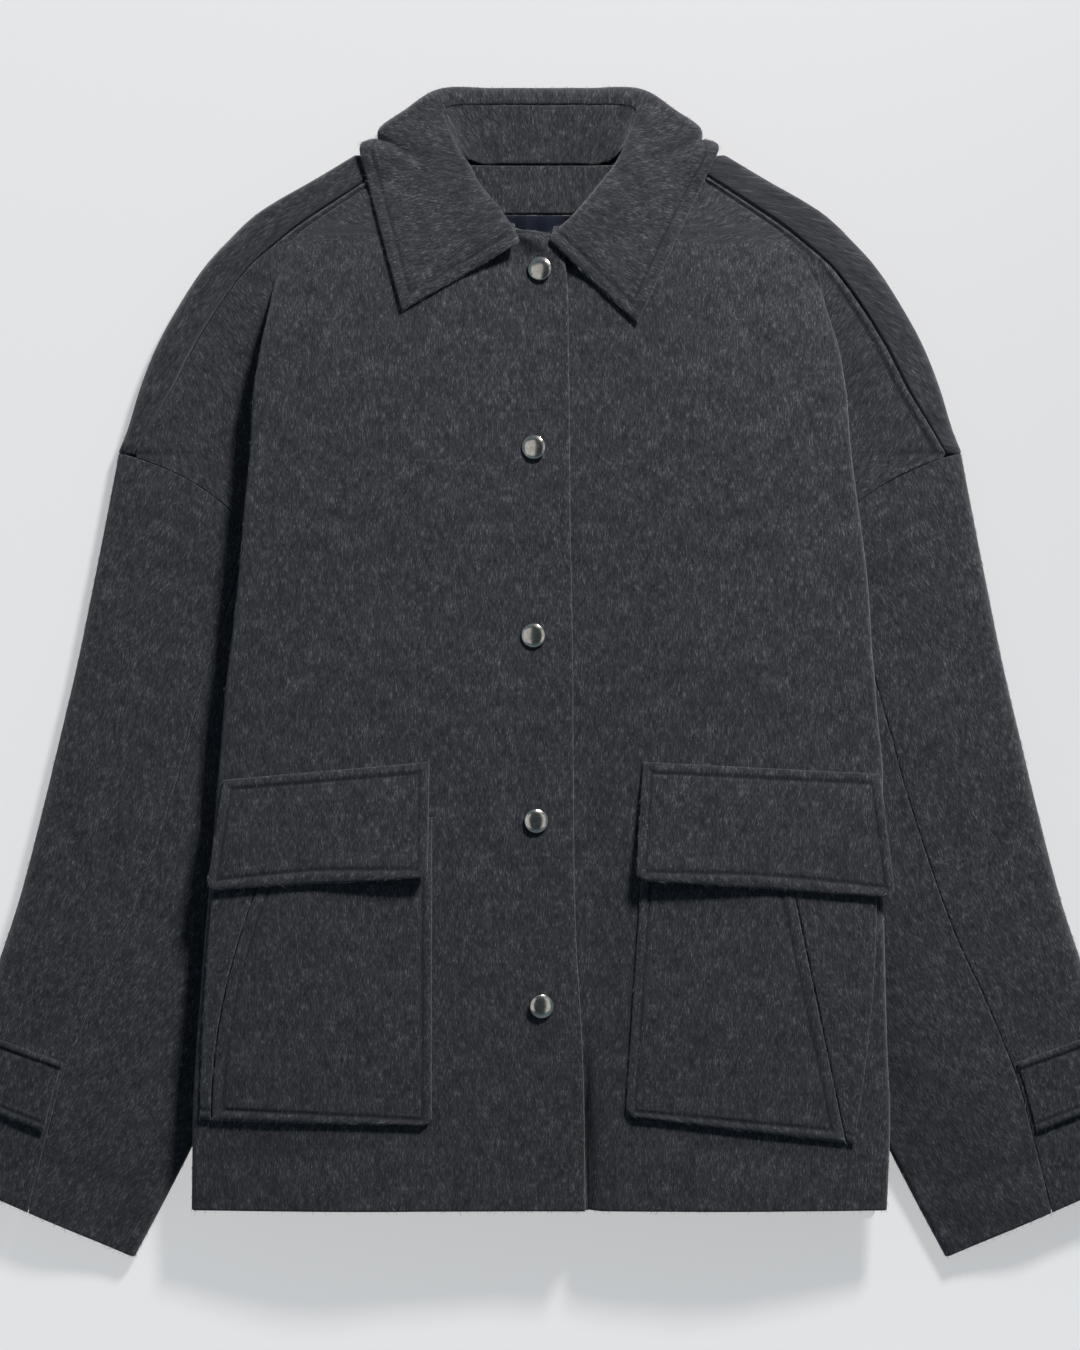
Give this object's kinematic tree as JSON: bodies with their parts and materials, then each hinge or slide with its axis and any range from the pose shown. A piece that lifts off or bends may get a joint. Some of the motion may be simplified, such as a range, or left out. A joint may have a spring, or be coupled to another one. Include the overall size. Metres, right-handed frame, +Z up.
{
  "type": "wool jacket",
  "caption": "Oversized brushed wool jacket with a snap front, pointed collar, flap pockets and cuff tabs, lying flat on its back with its sleeves down its sides.",
  "frame": {"origin": "middle of the underside of the box round the laid jacket", "axes": "+Z up from the surface it lies on, +Y from the hem to the collar, +X to the right of someone who looks at its front"},
  "size_m": [0.8122, 0.7838, 0.055],
  "materials": {
    "wool": "brushed charcoal wool with a short nap",
    "satin": "near-black satin lining",
    "snap_metal": "polished nickel"
  },
  "bodies": {
    "root": {"front_right": "wool", "front_left": "wool", "back": "wool", "sleeve_right_upper": "wool", "sleeve_right_under": "wool", "sleeve_left_upper": "wool", "sleeve_left_under": "wool", "collar_stand": "wool", "collar": "wool", "neck_facing": "wool", "pocket_right": "wool", "pocket_side_right": "wool", "flap_right": "wool", "tab_right": "wool", "pocket_left": "wool", "pocket_side_left": "wool", "flap_left": "wool", "tab_left": "wool", "neck_lining": "satin", "snap_1": "snap_metal", "snap_2": "snap_metal", "snap_3": "snap_metal", "snap_4": "snap_metal", "snap_5": "snap_metal", "tab_snap_right": "snap_metal", "tab_snap_left": "snap_metal"}
  },
  "joints": []
}
